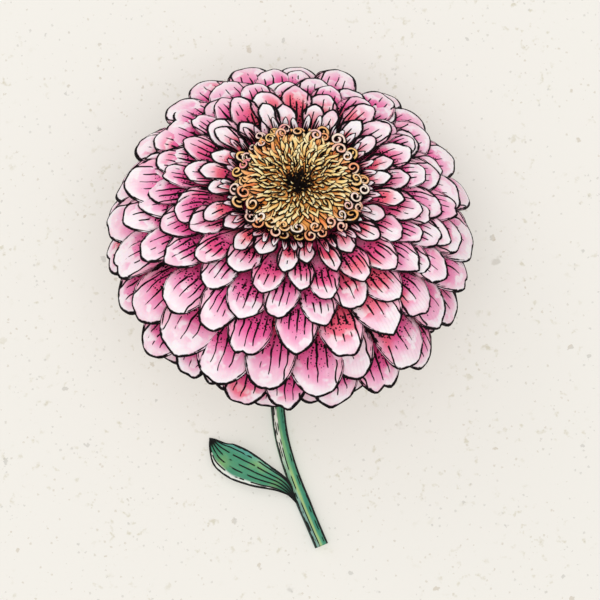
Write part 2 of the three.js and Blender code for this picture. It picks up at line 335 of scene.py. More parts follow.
PETAL_INK = (8, 2, 6)
BACK_INK = (92, 18, 50)
CORAL = (248, 100, 108)
BLUSH = (244, 128, 172)
BARE_PAPER = (255, 249, 252)
PALE_RIM = (255, 248, 251)
PINK_RIM = (250, 204, 222)
# The last stop is painted light: paler deep under the row above, to offset the shade there.
PETAL_WASH = [
    (0.0, (255, 240, 246)), (0.13, (253, 216, 231)), (0.27, (248, 168, 204)), (0.42, (240, 108, 166)),
    (0.56, (228, 76, 142)), (0.75, (228, 80, 146)), (0.95, (240, 138, 184)),
]
# Its last stop too is painted light that offsets the shade deep under the row above.
INNER_WASH = [
    (0.0, (255, 250, 251)), (0.14, (254, 232, 238)), (0.26, (251, 188, 204)), (0.4, (243, 112, 132)),
    (0.54, (230, 74, 112)), (0.75, (230, 86, 136)), (0.95, (246, 150, 182)),
]
BACK_WASH = [(0.0, (250, 206, 222)), (0.3, (240, 170, 198)), (0.6, (226, 158, 172)), (1.0, (196, 190, 132))]
CORE_WASH = [(0.32, (150, 20, 70)), (0.55, (206, 60, 118)), (0.75, (226, 96, 140))]
VEINS = 2.9  # per half-width of a petal
INNER_VEINS = 1.7
RIDGES = 42.0  # radians of fine ridges per half-width


def petal_paint():
    """Pale at the rim and rose towards the base, then paler again deep under the row above, which is painted
    light that offsets the shade there; with dark veins, stipple and a dark outline.

    exposure is 0 at the tip and about 1 where the row above covers the petal, edge the distance to the margin
    in outline widths, half the half-width in mm, fold 1 at the rolled margin, and inner 1 next to the disc.
    """
    p = Paint("petal", 0.7, specular=0.12, subsurface=0.05)
    across, exposure, edge, half = p.attributes("across exposure edge half")
    tint, inner, fold = p.attributes("tint inner fold")
    broad = p.waver(70.0, 3.0)
    middling = p.waver(190.0, 1.0)
    fine = p.waver(420.0, 3.0)
    squared = across * across
    depth = exposure * (squared * -0.45 + 1.1) + broad * 0.6 + (middling * 0.5 + fine * 0.2)
    depth = (depth + tint * 0.12) * 0.5
    # The ramps' last stops paint light into the depths under the row above.
    wash = p.mix(inner, p.ramp(depth, PETAL_WASH), p.ramp(depth, INNER_WASH))
    coral = p.noise(38.0, 1.0).step(0.52, 0.62) * depth.step(0.12, 0.34)
    wash = p.mix(coral * 0.65, wash, CORAL)
    light = p.noise(200.0).step(0.5, 0.58) * depth.step(0.26, 0.42, 0.7, 0.0)
    wash = p.mix(light, wash, BARE_PAPER)
    rim = edge.below(0.6, 1.8) * depth.step(0.24, 0.5, 0.7, 0.0)
    wash = p.mix(rim, wash, p.mix(p.noise(140.0, 1.0).step(0.45, 0.6), PALE_RIM, PINK_RIM))
    blush = fold.step(0.6, 0.72) * exposure.step(0.2, 0.4)
    wash = p.mix(blush * 0.5, wash, BLUSH)
    # Veins: tapered dark lines that run with the petal from its base and stop short of the tip.
    veins = inner * (INNER_VEINS - VEINS) + VEINS
    phase = across * veins + (broad * 0.7 + middling * 0.6)
    apart = phase.math("PINGPONG", 0.5) * half / veins
    reach = exposure - squared * 0.9 + fine * 0.5 + tint * 0.08
    line = (apart - reach.step(0.3, 0.9, 0.16, 0.34)).below(-0.06, 0.05)
    vein = line * exposure.below(1.15, 1.5) * reach.step(0.32, 0.37) * p.noise(230.0, 1.0).step(0.36, 0.41)
    # The line along which one margin is rolled.
    beyond = fold + (middling * 0.3 - 0.64)
    rolled = (abs(beyond) * half).below(0.2, 0.34) * p.noise(230.0, 1.0).step(0.3, 0.34)
    rolled = rolled * (exposure + fine * 0.3).step(0.2, 0.26)
    # Stipple, thicker towards the base.
    crowd = exposure - squared * 0.3 + broad * 0.9
    size = crowd.step(0.3, 1.1, 0.0, 0.44) * exposure.step(1.2, 1.8, 1.0, 0.6)
    speck = (p.cells(1150.0)[0] - size).below(-0.1, 0.0)
    # The outline, thinner in the depths.
    outline = (edge + exposure.step(0.9, 1.5, 0.0, 0.25) + fine * 0.7).below(0.5, 0.66)
    colour = p.mix(most(vein, speck, rolled, outline), wash, PETAL_INK)
    # The backs are paler, greenish towards the base, with thin parallel veins and a thinner outline.
    back = p.ramp((exposure + broad) * 0.5, BACK_WASH)
    thin = (apart - exposure * 0.04).below(0.03, 0.14) * exposure.step(0.2, 0.5, 0.0, 0.7)
    back = p.mix(most(thin, edge.step(0.2, 0.4, 0.9, 0.0)), back, BACK_INK)
    colour = p.mix(p.attribute("back"), colour, back)
    p.bump((across * RIDGES).math("SINE") * 0.5 + fine, 0.00012)
    return p.colour(colour)


def core_paint():
    """The deep pink between the petals' claws, with dark streaks."""
    p = Paint("petal_depths", 0.8, specular=0.1)
    p.bump(p.noise(700.0), strength=0.4)
    streak = p.noise(520.0, 1.0).step(0.58, 0.64)
    return p.colour(p.mix(streak * 0.85, p.ramp(p.noise(240.0), CORE_WASH), PETAL_INK))


FLORET_INK = (14, 6, 4)
DISC_INK = (12, 5, 4)
GOLD_WASH = [(0.0, (238, 140, 72)), (0.25, (255, 192, 108)), (0.55, (255, 222, 150)), (1.0, (255, 242, 198))]
ORANGE_WASH = [(0.0, (228, 84, 50)), (0.4, (252, 144, 82)), (1.0, (255, 196, 130))]
DISC_WASH = [(0.4, (24, 8, 4)), (0.48, (244, 146, 66)), (0.75, (255, 198, 112))]


def floret_paint():
    """Gold with orange bases, an orange rim and a black middle, each floret drawn round in ink.

    along is 0 at a floret's base, edge the distance to its outline in mm, and ring its share of the radius.
    """
    p = Paint("floret", 0.6, specular=0.12, subsurface=0.05)
    along, edge, ring, tint = p.attributes("along edge ring tint")
    fine = p.waver(600.0)
    shade = along + fine * 0.4 + tint * 0.15
    rim = (ring + p.waver(110.0, 1.0) * 0.8).step(0.74, 0.96)
    wash = p.mix(rim, p.ramp(shade, GOLD_WASH), p.ramp(shade, ORANGE_WASH))
    dark = (ring + fine * 0.6).below(0.18, 0.25)
    spots = p.cells(1200.0)[0].below(0.34, 0.44) * ring.below(0.36, 0.75)
    bold = ring * -0.12 + 0.16
    line = (edge + fine * 0.5 - bold).below(0.18, 0.27) * along.step(0.03, 0.1)
    p.bump(fine)
    return p.colour(p.mix(most(dark, spots, line), wash, FLORET_INK))


def disc_paint():
    """Orange with ink between the florets, and black in the middle."""
    p = Paint("disc_depths", 0.8, specular=0.1)
    p.bump(p.noise(800.0), strength=0.4)
    middle = p.attribute("ring").below(0.2, 0.34)
    return p.colour(p.mix(middle, p.ramp(p.noise(500.0), DISC_WASH), DISC_INK))


CURL_INK = (16, 4, 4)
CURL_LIGHT = (255, 236, 214)
CURL_WASH = [
    (0.0, (253, 180, 104)), (0.25, (255, 214, 140)), (0.5, (252, 164, 112)),
    (0.7, (255, 208, 198)), (0.85, (255, 238, 222)), (1.0, (250, 146, 150)),
]


def curl_paint():
    """Orange, pink or nearly white along the top of the rod, and ink down its sides.

    edge is the height on the rod's section, -1 to 1.
    """
    p = Paint("curl", 0.6, specular=0.15, subsurface=0.05)
    wash = p.ramp(p.attribute("tint") * 0.5 + 0.5, CURL_WASH)
    wash = p.mix(p.noise(330.0, 1.0).step(0.5, 0.62) * 0.6, wash, CURL_LIGHT)
    ink = (p.attribute("edge") + p.waver(420.0, 1.0) * 0.3).below(0.78, 0.86)
    p.bump(p.noise(700.0), strength=0.4)
    return p.colour(p.mix(ink, wash, CURL_INK))


BRACT_INK = (36, 30, 20)
BRACT_WASH = [(0.1, (72, 104, 52)), (0.6, (118, 152, 82)), (0.9, (150, 172, 104))]


def bract_paint():
    """Dull green, paler towards the tips, with a dark rim."""
    p = Paint("bract", 0.7)
    wash = p.ramp(p.attribute("along") * 0.7 + p.noise(260.0) * 0.4, BRACT_WASH)
    dark = (p.attribute("edge") + p.waver(500.0) * 0.5).below(0.35, 0.75)
    p.bump(p.noise(900.0))
    return p.colour(p.mix(dark * 0.85, wash, BRACT_INK))


STEM_INK = (6, 12, 9)
STEM_SHADE = (58, 140, 116)
# Painted highlights: a pale streak along the top and a white band down one side.
STEM_TEAL = (74, 142, 140)
STEM_PALE_HIGHLIGHT = (190, 214, 134)
STEM_WHITE_HIGHLIGHT = (250, 250, 240)
PITH = (206, 216, 158)
STEM_WASH = [(0.3, (52, 128, 100)), (0.5, (84, 164, 124)), (0.7, (120, 188, 134))]


def stem_paint():
    """Green with a white band of painted highlight down one side, a pale streak of painted highlight along
    the top, a darker band of painted shade down the other side, dashes, an ink line by each side, and pale
    pith at the cut.

    around is 0 along the top and 1 and -1 underneath, along is 0 at the bloom, and pith is 1 on the cut.
    """
    p = Paint("stem", 0.5, specular=0.2, subsurface=0.04)
    around, along = p.attributes("around along")
    broad = p.waver(80.0)
    fine = p.waver(420.0)
    place = around + broad * 0.06

    def band(centre, half_width, soft=0.02):
        return abs(place - centre).below(half_width, half_width + soft)

    wash = p.ramp(broad * 1.2 + 0.5, STEM_WASH)
    # Painted shade: a darker band down one side of the stem.
    wash = p.mix(band(-0.2, 0.08, 0.08) * 0.7, wash, STEM_SHADE)
    wash = p.mix(along.step(0.76, 0.86) * place.step(-0.1, 0.1, 0.1, 0.7), wash, STEM_TEAL)
    # Painted highlight: a broken pale streak along the top.
    streak = band(0.03, 0.03, 0.06) * p.noise(60.0, 1.0).step(0.42, 0.6)
    wash = p.mix(streak * 0.7, wash, STEM_PALE_HIGHLIGHT)
    # Painted highlight: a white band down the other side, which fades towards the cut.
    white = band(0.17, 0.1) * along.step(0.62, 0.74, 1.0, 0.2)
    wash = p.mix(white * 0.92, wash, STEM_WHITE_HIGHLIGHT)
    breaks = p.noise(150.0, 1.0).step(0.44, 0.5)
    other_breaks = p.noise(230.0, 1.0).step(0.48, 0.54)
    dashes = most(band(0.09, 0.018) * breaks, band(0.19, 0.018) * other_breaks)
    dashes = most(dashes, band(-0.17, 0.016) * (breaks * other_breaks))
    side = abs(around)
    dark = (side + fine * 0.2).step(0.225, 0.26) * side.step(0.4, 0.46, 1.0, 0.1)
    wash = p.mix(most(dashes, dark), wash, STEM_INK)
    p.bump((around * 50.0).math("SINE") + fine, strength=0.4)
    return p.colour(p.mix(p.attribute("pith"), wash, PITH))


LEAF_INK = (6, 10, 8)
LEAF_BLUE = (110, 186, 176)
LEAF_PALE = (244, 248, 242)
LEAF_DARK = (20, 52, 40)
LEAF_WASH = [(0.3, (54, 132, 110)), (0.48, (84, 160, 122)), (0.64, (132, 182, 118)), (0.78, (206, 218, 142))]
LEAF_NERVES = 2.8  # per half-width


def leaf_paint():
    """Green with yellow-green and blue-green washes, a pale lower margin, dark nerves and a dark edge.

    along is 0 at the stem, edge the distance to the margin in mm, and half the half-width in mm.
    """
    p = Paint("leaf", 0.55, specular=0.2, subsurface=0.04)
    across, along, edge, half = p.attributes("across along edge half")
    broad = p.waver(90.0)
    fine = p.waver(420.0)
    wash = p.ramp(broad * 1.1 + 0.5, LEAF_WASH)
    wash = p.mix(across.step(-0.95, -0.4, 0.65, 0.0), wash, LEAF_BLUE)
    wash = p.mix((across + broad * 0.5).step(0.6, 0.76) * 0.9, wash, LEAF_PALE)
    wash = p.mix(along.below(0.12, 0.42) * 0.75, wash, LEAF_DARK)
    # The nerves are whole by the stem and broken further out.
    phase = across * LEAF_NERVES + broad * 0.6
    apart = phase.math("PINGPONG", 0.5) * half * 0.36
    unbroken = (p.noise(300.0, 1.0) + along.step(0.25, 0.45, 0.5, 0.0)).step(0.39, 0.43)
    nerve = apart.below(0.16, 0.28) * unbroken * abs(across).below(0.8, 0.86)
    outline = (edge + fine * 0.7).below(0.54, 0.7)
    ink = most(nerve, outline, along.step(0.88, 0.93))
    p.bump(fine - nerve * 1.5, 0.00015)
    return p.colour(p.mix(ink, wash, LEAF_INK))


# ---- Mesh making ----


def grid_points(x, y, z):
    """The points of a grid, row by row."""
    return np.stack(np.broadcast_arrays(x, y, z), axis=-1).reshape(-1, 3)


def grid_faces(rows, columns, wrap=False):
    """Quads of a grid of points, outward where columns run anticlockwise seen from above as rows advance."""
    r, c = np.meshgrid(np.arange(rows - 1), np.arange(columns if wrap else columns - 1), indexing="ij")
    a = r * columns + c
    b = r * columns + (c + 1) % columns
    return np.stack([a, b, b + columns, a + columns], axis=-1).reshape(-1, 4)


def blade_faces(rows, columns):
    """A closed blade: the upper face's grid, then the lower face's, and the strip that joins them."""
    upper = grid_faces(rows, columns)
    under = rows * columns
    around = [
        np.arange(columns),
        np.arange(1, rows) * columns + columns - 1,
        (rows - 1) * columns + np.arange(columns - 2, -1, -1),
        np.arange(rows - 2, 0, -1) * columns,
    ]
    border = np.concatenate(around)
    following = np.roll(border, -1)
    strip = np.stack([following, border, border + under, following + under], axis=-1)
    return np.vstack([upper, upper[:, ::-1] + under, strip])


def blade_points(middle, lift, thickness, normal):
    """The points of a blade's upper and lower face, from its middle surface, which is lifted."""
    both = [middle + (lift + way * thickness / 2)[..., None] * normal for way in (1, -1)]
    return np.concatenate([face.reshape(-1, 3) for face in both])


def on_both_faces(shape, **attributes):
    return {key: np.tile(np.broadcast_to(values, shape).ravel(), 2) for key, values in attributes.items()}


def lathe(profile, turns):
    """A closed solid of revolution about +Z from (radius, height) pairs, from axis to axis."""
    profile = np.asarray(profile, float)
    angles = np.arange(turns) * math.tau / turns
    ring = profile[1:-1]
    points = grid_points(ring[:, :1] * np.cos(angles), ring[:, :1] * np.sin(angles), ring[:, 1:])
    faces = grid_faces(len(ring), turns, wrap=True).tolist()
    first = len(points)
    points = np.vstack([points, [0, 0, profile[0, 1]], [0, 0, profile[-1, 1]]])
    last_ring = (len(ring) - 1) * turns
    faces += [[first, (i + 1) % turns, i] for i in range(turns)]
    faces += [[first + 1, last_ring + i, last_ring + (i + 1) % turns] for i in range(turns)]
    return points, faces


def frames(path):
    """The directions ahead, to the left and upward at each point of a path."""
    ahead = np.gradient(path, axis=0)
    ahead = ahead / np.linalg.norm(ahead, axis=1, keepdims=True)
    side = np.cross([0.0, 0.0, 1.0], ahead)
    side /= np.linalg.norm(side, axis=1, keepdims=True)
    return ahead, side, np.cross(ahead, side)


class Bunch:
    """Many closed meshes in one object."""

    def __init__(self):
        self.points = []
        self.faces = []
        self.attributes = {}
        self.count = 0

    def add(self, points, faces, **attributes):
        self.points.append(points)
        self.faces.extend([[i + self.count for i in face] for face in faces])
        for key, values in attributes.items():
            each = np.broadcast_to(np.asarray(values, float), (len(points),))
            self.attributes.setdefault(key, []).append(each)
        self.count += len(points)
        return self

    def gather(self, build, *ranges):
        """Adds what build makes at each place in those ranges."""
        for place in itertools.product(*ranges):
            build(self, *place)
        return self

    def make(self, name, material, node, slot):
        """The object, which stands for a CAD node."""
        mesh = bpy.data.meshes.new(name)
        mesh.from_pydata(((np.vstack(self.points) + TO_MIDDLE) * MM).tolist(), [], self.faces)
        for key, values in self.attributes.items():
            layer = mesh.attributes.new(key, "FLOAT", "POINT")
            layer.data.foreach_set("value", np.concatenate(values).astype(np.float32))
        mesh.polygons.foreach_set("use_smooth", np.ones(len(mesh.polygons), dtype=bool))
        mesh.materials.append(material)
        piece = bpy.data.objects.new(name, mesh)
        scene.collection.objects.link(piece)
        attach(piece, "root")
        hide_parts(node)


# ---- Ray petals ----

PETAL_STEPS = 30
PETAL_COLUMNS = 23
PETAL_FACES = blade_faces(PETAL_STEPS, PETAL_COLUMNS)[:, ::-1]
PETAL_THICKNESS = 0.45
MARGIN_THINNING = 0.65  # shares of the thickness
TIP_THINNING = 0.5
LEVELS = (0.5, 0.6, 1.0, 1.5, 1.5, 1.5, 1.5)  # how much of OVER_AND_UNDER each row takes here
STAGGER = 1.5  # mm further out for a petal under its neighbours, and in for one over them
LENGTH_DRAW = 0.9  # mm
BACK_PALER = 0.25  # how much more of a petal at the back is pale
BACK_BOLDER = 0.15  # in the ink of the outlines
OUTLINES = (0.9, 1.7)  # their weights, from the inner rows to the last

# Each row's form: how pointed the tips are, the share of the length at which they begin, how far the margins
# turn down (under 0) or up, as a share of the half-width, the width against an even share of the ring, the
# claw's share of it, and how much shows past the row above, in mm.
PETAL_FORM = [
    (0.6, 0.58, 0.1, 0.94, 0.46, 7.6),
    (0.4, 0.62, -0.04, 0.98, 0.42, 8.0),
    (0.22, 0.66, -0.14, 0.99, 0.38, 9.5),
    (0.1, 0.68, -0.2, 0.99, 0.34, 12.0),
    (0.0, 0.68, -0.22, 1.03, 0.34, 16.0),
    (0.0, 0.68, -0.2, 1.02, 0.34, 10.5),
    (0.0, 0.68, -0.16, 1.0, 0.34, 9.5),
]

# The irregularities of one petal's outline, as shares of its length or width.
TIP_SLANT = 0.06
NOTCH = 0.05
SCALLOP = 0.008
CUSP = 0.06
RIPPLE = 0.025
BREADTH_DRAW = 0.1

# The relief of its face, in mm but for the rolled margin, which is a share of the half-width.
ROLLED_MARGIN = 0.2
MIDDLE_FURROW = 0.25
SIDE_FURROWS = 0.16
FRILL = 0.35
TIP_TURN = 0.7
INNER_TIP_TURN = 0.5
SWERVE = 0.9
SURFACE_SOFTNESS = 0.2  # how gently what reaches the surface bends along it


def arch(root, tip, leaves, arrives, shares):
    """Points and tangents of a Bezier arch, in the plane of radius and height."""
    root, tip = np.array(root), np.array(tip)
    reach = 0.38 * np.linalg.norm(tip - root)
    a = root + reach * np.array([math.cos(leaves), math.sin(leaves)])
    b = tip - reach * np.array([math.cos(arrives), math.sin(arrives)])
    t = np.asarray(shares, float)[..., None]
    point = (1 - t) ** 3 * root + 3 * (1 - t) ** 2 * t * a + 3 * (1 - t) * t**2 * b + t**3 * tip
    slope = 3 * (1 - t) ** 2 * (a - root) + 6 * (1 - t) * t * (b - a) + 3 * t**2 * (tip - b)
    return point, slope / np.linalg.norm(slope, axis=-1, keepdims=True)


def midline(row, tip_radius, tip_height, shares):
    """The arch that the solids' petals of a row follow."""
    share = row / (len(ROWS) - 1)
    root = (lerp(ROOT_TOP[0], ROOT_BOTTOM[0], share**1.5), lerp(ROOT_TOP[1], ROOT_BOTTOM[1], share))
    leaves = math.radians(lerp(*ROOT_ANGLES, share))
    return arch(root, (tip_radius, tip_height), leaves, math.radians(ROWS[row][3]), shares)


def petal_place(row, number):
    """The rule that the solids' petals follow, with this script's own levels and ink."""
    count, ring, height, _ = ROWS[row]
    seed = row * 100 + number
    turn = (number + (0.5 if row % 2 else 0) + TURN_DRAW * draw(seed)) * math.tau / count
    radius = ring + RADIUS_DRAW * draw(seed + 0.3)
    at_surface = radius * math.sin(LEAN) * math.cos(turn) - BLOOM_CENTRE[2] - SURFACE_PRESS
    back = max(math.cos(turn), 0)
    return {
        "seed": seed,
        "azimuth": LEAN_AZIMUTH + turn,
        "radius": radius,
        "height": max(height + HEIGHT_DRAW * draw(seed + 0.6), at_surface / math.cos(LEAN)),
        "level": (OVER_AND_UNDER if number % 2 else -OVER_AND_UNDER) * LEVELS[row],
        "half": math.pi * ring / count * (1 + WIDTH_DRAW * draw(seed + 0.8)),
        "roll": ROLL_DRAW * draw(seed + 0.9),
        "paler": 1 + BACK_PALER * back,
        "ink": 1 + BACK_BOLDER * back,
    }


def outline_distance(x, y):
    """The distance from each point of a flat grid to its sides and far end."""
    border_x = np.concatenate([x[:, 0], x[:, -1], x[-1]])
    border_y = np.concatenate([y[:, 0], y[:, -1], y[-1]])
    far = (x[..., None] - border_x) ** 2 + (y[..., None] - border_y) ** 2
    return np.sqrt(far.min(axis=-1))


def petal(bunch, place, form, line, ink_width, inner):
    """A thin curved blade along a line in the plane of radius and height at place["azimuth"]."""
    point, widest, dish, breadth, waist, showing = form
    seed = place["seed"]
    length = np.linalg.norm(np.diff(line(np.linspace(0, 1, 40))[0], axis=0), axis=1).sum()

    across = spread(PETAL_COLUMNS)
    away = np.abs(across)
    down = np.linspace(0, 1, PETAL_STEPS)[:, None]
    share = 1 - (1 - down) ** 1.6
    # The tip is rounded or pointed, and on some petals a little notched or cusped.
    sharp = np.clip(point + 0.2 * draw(seed + 0.11), 0, 1)
    rounded = (1 - away**2.8) ** 0.5
    pointed = 0.45 * (1 - away) + 0.55 * rounded
    slant = TIP_SLANT * draw(seed + 0.18) * across * (1 - across**2)
    notch = NOTCH * max(draw(seed + 0.12) - 0.4, 0) * bell(across, 0.14) * (1 - sharp)
    scallop = SCALLOP * np.sin(7 * across + 6 * draw(seed + 0.19)) * (1 - across**2)
    cusp = CUSP * max(draw(seed + 0.24), 0) * bell(across - 0.3 * draw(seed + 0.25), 0.2)
    tip = lerp(rounded, pointed, sharp) + slant + cusp * (1 - across**2)
    reach = widest + (1 - widest) * tip - notch + scallop
    v = share * reach
    claw = lerp(waist, 1.0, smoothstep(v, 0.12, 0.8))
    ripple = 1 + RIPPLE * np.sin(9 * v + 5 * draw(seed + 0.13)) * np.sign(across)
    half = place["half"] * breadth * (1 + BREADTH_DRAW * draw(seed + 0.21)) * claw * ripple
    edge = outline_distance(0.75 * half * across, v * length)

    p, t = line(v)
    level = place["level"] * np.clip(v / 0.3, 0, 1)
    margin = 1 if draw(seed + 0.22) > 0 else -1
    cup = dish * (0.5 if place["level"] > 0 else 1.0) * (across**2 + 0.6 * across**6)
    rolled = ROLLED_MARGIN * smoothstep(across * margin, 0.66, 1.0)
    rolled = rolled * smoothstep(v, 0.3, 0.6) * (1 - smoothstep(v, 0.85, 1.0))
    furrow = -MIDDLE_FURROW * bell(across, 0.09) - SIDE_FURROWS * bell(away - 0.42, 0.08)
    furrow = furrow * smoothstep(v, 0.2, 0.5) * (1 - smoothstep(v, 0.8, 0.97))
    frill = FRILL * away**3 * np.sin(7 * v + 6 * draw(seed + 0.14)) * np.sign(across)
    tip_turn = (TIP_TURN * draw(seed + 0.16) + INNER_TIP_TURN * inner) * smoothstep(v, 0.7, 1.0)
    lift = level + half * (cup + rolled) + furrow + frill + tip_turn
    swerve = SWERVE * draw(seed + 0.23) * smoothstep(v, 0.4, 1.0)
    thickness = PETAL_THICKNESS * (1 - MARGIN_THINNING * away**5)
    thickness = thickness * (1 - TIP_THINNING * smoothstep(share, 0.85, 1.0))

    cos_a, sin_a = math.cos(place["azimuth"]), math.sin(place["azimuth"])
    outward = np.array([cos_a, sin_a, 0.0])
    sideways = np.array([-sin_a, cos_a, 0.0])
    up = np.array([0.0, 0.0, 1.0])
    normal = -t[..., 1:] * outward + t[..., :1] * up
    side = math.cos(place["roll"]) * sideways + math.sin(place["roll"]) * normal
    face = math.cos(place["roll"]) * normal - math.sin(place["roll"]) * sideways
    middle = p[..., :1] * outward + p[..., 1:] * up + (half * across + swerve)[..., None] * side
    points = from_bloom(blade_points(middle, lift, thickness, face))
    points[:, 2] = 0.5 * (points[:, 2] + np.sqrt(points[:, 2] ** 2 + SURFACE_SOFTNESS**2))
    exposure = (1 - v) * length / (showing * place["paler"])
    bunch.add(
        points,
        PETAL_FACES,
        tint=draw(seed + 0.17),
        inner=inner,
        back=np.repeat([0.0, 1.0], v.size),
        **on_both_faces(
            v.shape, across=across, exposure=exposure, edge=edge / ink_width, half=half, fold=across * margin
        ),
    )


def innerness(row):
    """1 on the innermost row, less on the next, and 0 from there on."""
    return max(0.0, 1 - row / 1.6)


def row_petal(bunch, row, number):
    place = petal_place(row, number)
    radius = place["radius"] - STAGGER * np.sign(place["level"]) + LENGTH_DRAW * draw(place["seed"] + 0.4)

    def line(shares):
        return midline(row, radius, place["height"], shares)

    ink_width = lerp(*OUTLINES, max(row - 1, 0) / 5) * place["ink"]
    petal(bunch, place, PETAL_FORM[row], line, ink_width, innerness(row))


BETWEEN = 22  # smaller petals after each of these rows
BETWEEN_ROWS = (1, 2)
BETWEEN_OUTLINES = (0.8, 1.0)
FRONT_LIMIT = -0.45  # cosine of the turn from the back, past which the rows leave them no room


def between_petal(bunch, row, number):
    """A smaller petal between two rows, which shows at the sides and the back."""
    seed = 2000 + row * 100 + number
    turn = (number + 0.5 * (row % 2) + 0.25 + 0.2 * draw(seed)) * math.tau / BETWEEN
    if math.cos(turn) < FRONT_LIMIT:
        return
    share = lerp(0.25, 0.5, smoothstep(math.cos(turn), -0.5, 0.0)) + 0.12 * draw(seed + 0.3)
    half = math.pi * lerp(ROWS[row][1], ROWS[row + 1][1], 0.5) / BETWEEN
    place = {
        "seed": seed,
        "azimuth": LEAN_AZIMUTH + turn,
        "level": 0.5 * draw(seed + 0.5),
        "half": half * (0.9 + 0.14 * draw(seed + 0.8)),
        "roll": math.radians(6) * draw(seed + 0.9),
        "paler": 0.8,
    }
    radius = lerp(ROWS[row][1], ROWS[row + 1][1], share)
    height = lerp(ROWS[row][2], ROWS[row + 1][2], share) + 0.3

    def line(shares):
        above, above_slope = midline(row, radius, height, shares)
        below, below_slope = midline(row + 1, radius, height, shares)
        return (above + below) / 2, (above_slope + below_slope) / 2

    petal(bunch, place, PETAL_FORM[row + 1], line, lerp(*BETWEEN_OUTLINES, row - 1), innerness(row + 0.5))


STRAPS = 46
STRAP_ROOT = (17.3, 22.8)
STRAP_TIP = (23.8, 27.2)
STRAP_ANGLES = (math.radians(66), math.radians(-4))
STRAP_HALF_WIDTH = 1.3
STRAP_FORM = (0.6, 0.6, 0.25, 1.0, 0.6, 4.8)
STRAP_OUTLINE = 0.45


def strap(bunch, number):
    """A short narrow petal that is still half rolled, between the curls and the first row."""
    seed = 990 + 0.37 * number
    tip = (STRAP_TIP[0] + 1.5 * draw(seed + 0.4), STRAP_TIP[1] + 0.7 * draw(seed + 0.6))
    place = {
        "seed": seed,
        "azimuth": LEAN_AZIMUTH + (number + 0.5 + 0.3 * draw(seed)) * math.tau / STRAPS,
        "level": 0.0,
        "half": STRAP_HALF_WIDTH,
        "roll": math.radians(14) * draw(seed + 0.9),
        "paler": 1.0,
    }

    def line(shares):
        return arch(STRAP_ROOT, tip, *STRAP_ANGLES, shares)

    petal(bunch, place, STRAP_FORM, line, STRAP_OUTLINE, 1.0)


petal_material = petal_paint()
for row_index, row_sizes in enumerate(ROWS):
    row_bunch = Bunch().gather(row_petal, [row_index], range(row_sizes[0]))
    row_bunch.make(f"petals_row_{row_index + 1}", petal_material, "ray_petals", "petal")
for row_index in BETWEEN_ROWS:
    row_bunch = Bunch().gather(between_petal, [row_index], range(BETWEEN))
    row_bunch.make(f"petals_between_{row_index + 1}", petal_material, "ray_petals", "petal")
Bunch().gather(strap, range(STRAPS)).make("petals_unrolled", petal_material, "ray_petals", "petal")

# The core lies under the petals, near their roots.
CORE_SHARE = 0.34  # of a row's arch, from its root
LAST_CORE_SHARE = 0.16
CORE_INSET = np.array([0.6, 0.8])
LATHE_TURNS = 72

core_profile = [(0, DISC_SEAT - 1), (DISC_WELL_RADIUS - 0.6, DISC_SEAT - 1)]
for row_index, row_sizes in enumerate(ROWS):
    core_share = CORE_SHARE if row_index < len(ROWS) - 1 else LAST_CORE_SHARE
    root_part, _ = midline(row_index, row_sizes[1], row_sizes[2], [core_share])
    core_profile.append(tuple(root_part[0] - CORE_INSET))
core_profile += [(CUP_RADIUS + 0.6, CUP_TOP + 0.6), (0, CUP_TOP + 0.6)]
core_points, core_faces = lathe(core_profile[::-1], LATHE_TURNS)
core = Bunch().add(from_bloom(core_points), core_faces)
core.make("petal_core", core_paint(), "ray_petals", "petal")


# ---- Disc ----


def disc_height(radius):
    share = radius / DISC_RADIUS
    return DISC_SEAT + DISC_RISE - DISC_SHOULDER_DROP * share**3 - DISC_DIP * bell(share, DISC_DIP_WIDTH)


DOME_INSET = 0.5
DOME_SHARES = (1, 0.9, 0.8, 0.65, 0.5, 0.35, 0.2, 0.1, 0)

disc_profile = [(0, DISC_SEAT + GAP), (DISC_RADIUS, DISC_SEAT + GAP)]
disc_profile += [(s * DISC_RADIUS, disc_height(s * DISC_RADIUS) - DOME_INSET) for s in DOME_SHARES]
disc_points, disc_faces = lathe(disc_profile, LATHE_TURNS)
disc_ring = np.hypot(*disc_points[:, :2].T) / DISC_RADIUS
disc = Bunch().add(from_bloom(disc_points), disc_faces, ring=disc_ring)
disc.make("disc_dome", disc_paint(), "disc_florets", "floret")

FLORETS = 270
FLORET_STEPS = 8
FLORET_COLUMNS = 7
FLORET_FACES = blade_faces(FLORET_STEPS, FLORET_COLUMNS)[:, ::-1]
FLORET_LENGTHS = (1.7, 6.4)  # from the middle to the rim
FLORET_HALF_WIDTHS = (0.48, 0.78)
FLORET_ANGLES = (60, 12)
FLORET_WAVE = 0.85
FLORET_CROWN = 0.42
FLORET_THICKNESS = 0.12


